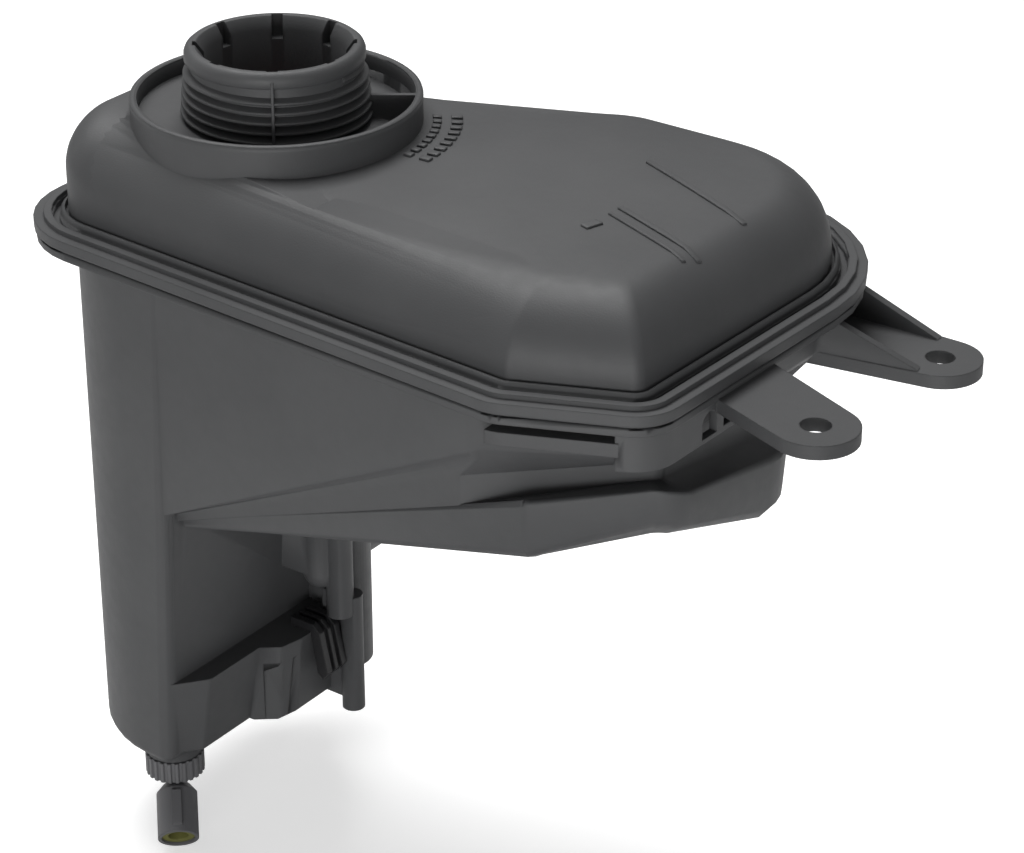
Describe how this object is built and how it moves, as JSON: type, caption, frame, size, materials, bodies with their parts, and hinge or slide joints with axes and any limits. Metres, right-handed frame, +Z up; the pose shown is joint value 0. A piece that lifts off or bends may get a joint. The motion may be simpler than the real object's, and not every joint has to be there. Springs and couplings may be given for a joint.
{
  "type": "coolant expansion tank",
  "caption": "Welded coolant expansion tank with a threaded filler neck, an overflow collar, mounting ears, a level rod and a plug-in level sensor.",
  "frame": {"origin": "centre of the filler neck's rim, where the cap seals", "axes": "+Z up along the filler neck, +X along the long front side towards the mounting ears, +Y to the rear"},
  "size_m": [0.2684, 0.1593, 0.2534],
  "materials": {
    "tank_plastic": "satin",
    "guide_plastic": "satin",
    "rod_plastic": "satin",
    "float_plastic": "matte",
    "magnet": "matte",
    "spring_steel": "satin",
    "sensor_plastic": "satin",
    "reed_glass": "gloss",
    "lead_metal": "satin",
    "contact_metal": "satin",
    "seal_rubber": "matte",
    "clip_plastic": "satin"
  },
  "bodies": {
    "tank": {"lower_shell": "tank_plastic", "upper_shell": "tank_plastic", "indicator_guide": "guide_plastic", "float_retainer": "spring_steel", "cable_clip": "clip_plastic"},
    "level_float": {"indicator_rod": "rod_plastic", "indicator_float": "float_plastic"},
    "ring_float": {"sensor_float": "float_plastic", "float_magnet": "magnet"},
    "sensor": {"level_sensor": "sensor_plastic", "reed_switch": "reed_glass", "reed_leads": "lead_metal", "contact_pin_a": "contact_metal", "contact_pin_b": "contact_metal", "connector_seal": "seal_rubber"}
  },
  "joints": [
    {"name": "indicator_lift", "type": "slide", "parent": "tank", "child": "level_float", "axis": [0, 0, 1], "range_m": [0, 0.026]},
    {"name": "sensor_float_lift", "type": "slide", "parent": "tank", "child": "ring_float", "axis": [0, 0, 1], "range_m": [0, 0.033]},
    {"name": "sensor_twist", "type": "hinge", "parent": "tank", "child": "sensor", "pos_m": [-0.0175, -0.0398, -0.2273], "axis": [0, 0, 1], "range_deg": [0, 50]}
  ]
}
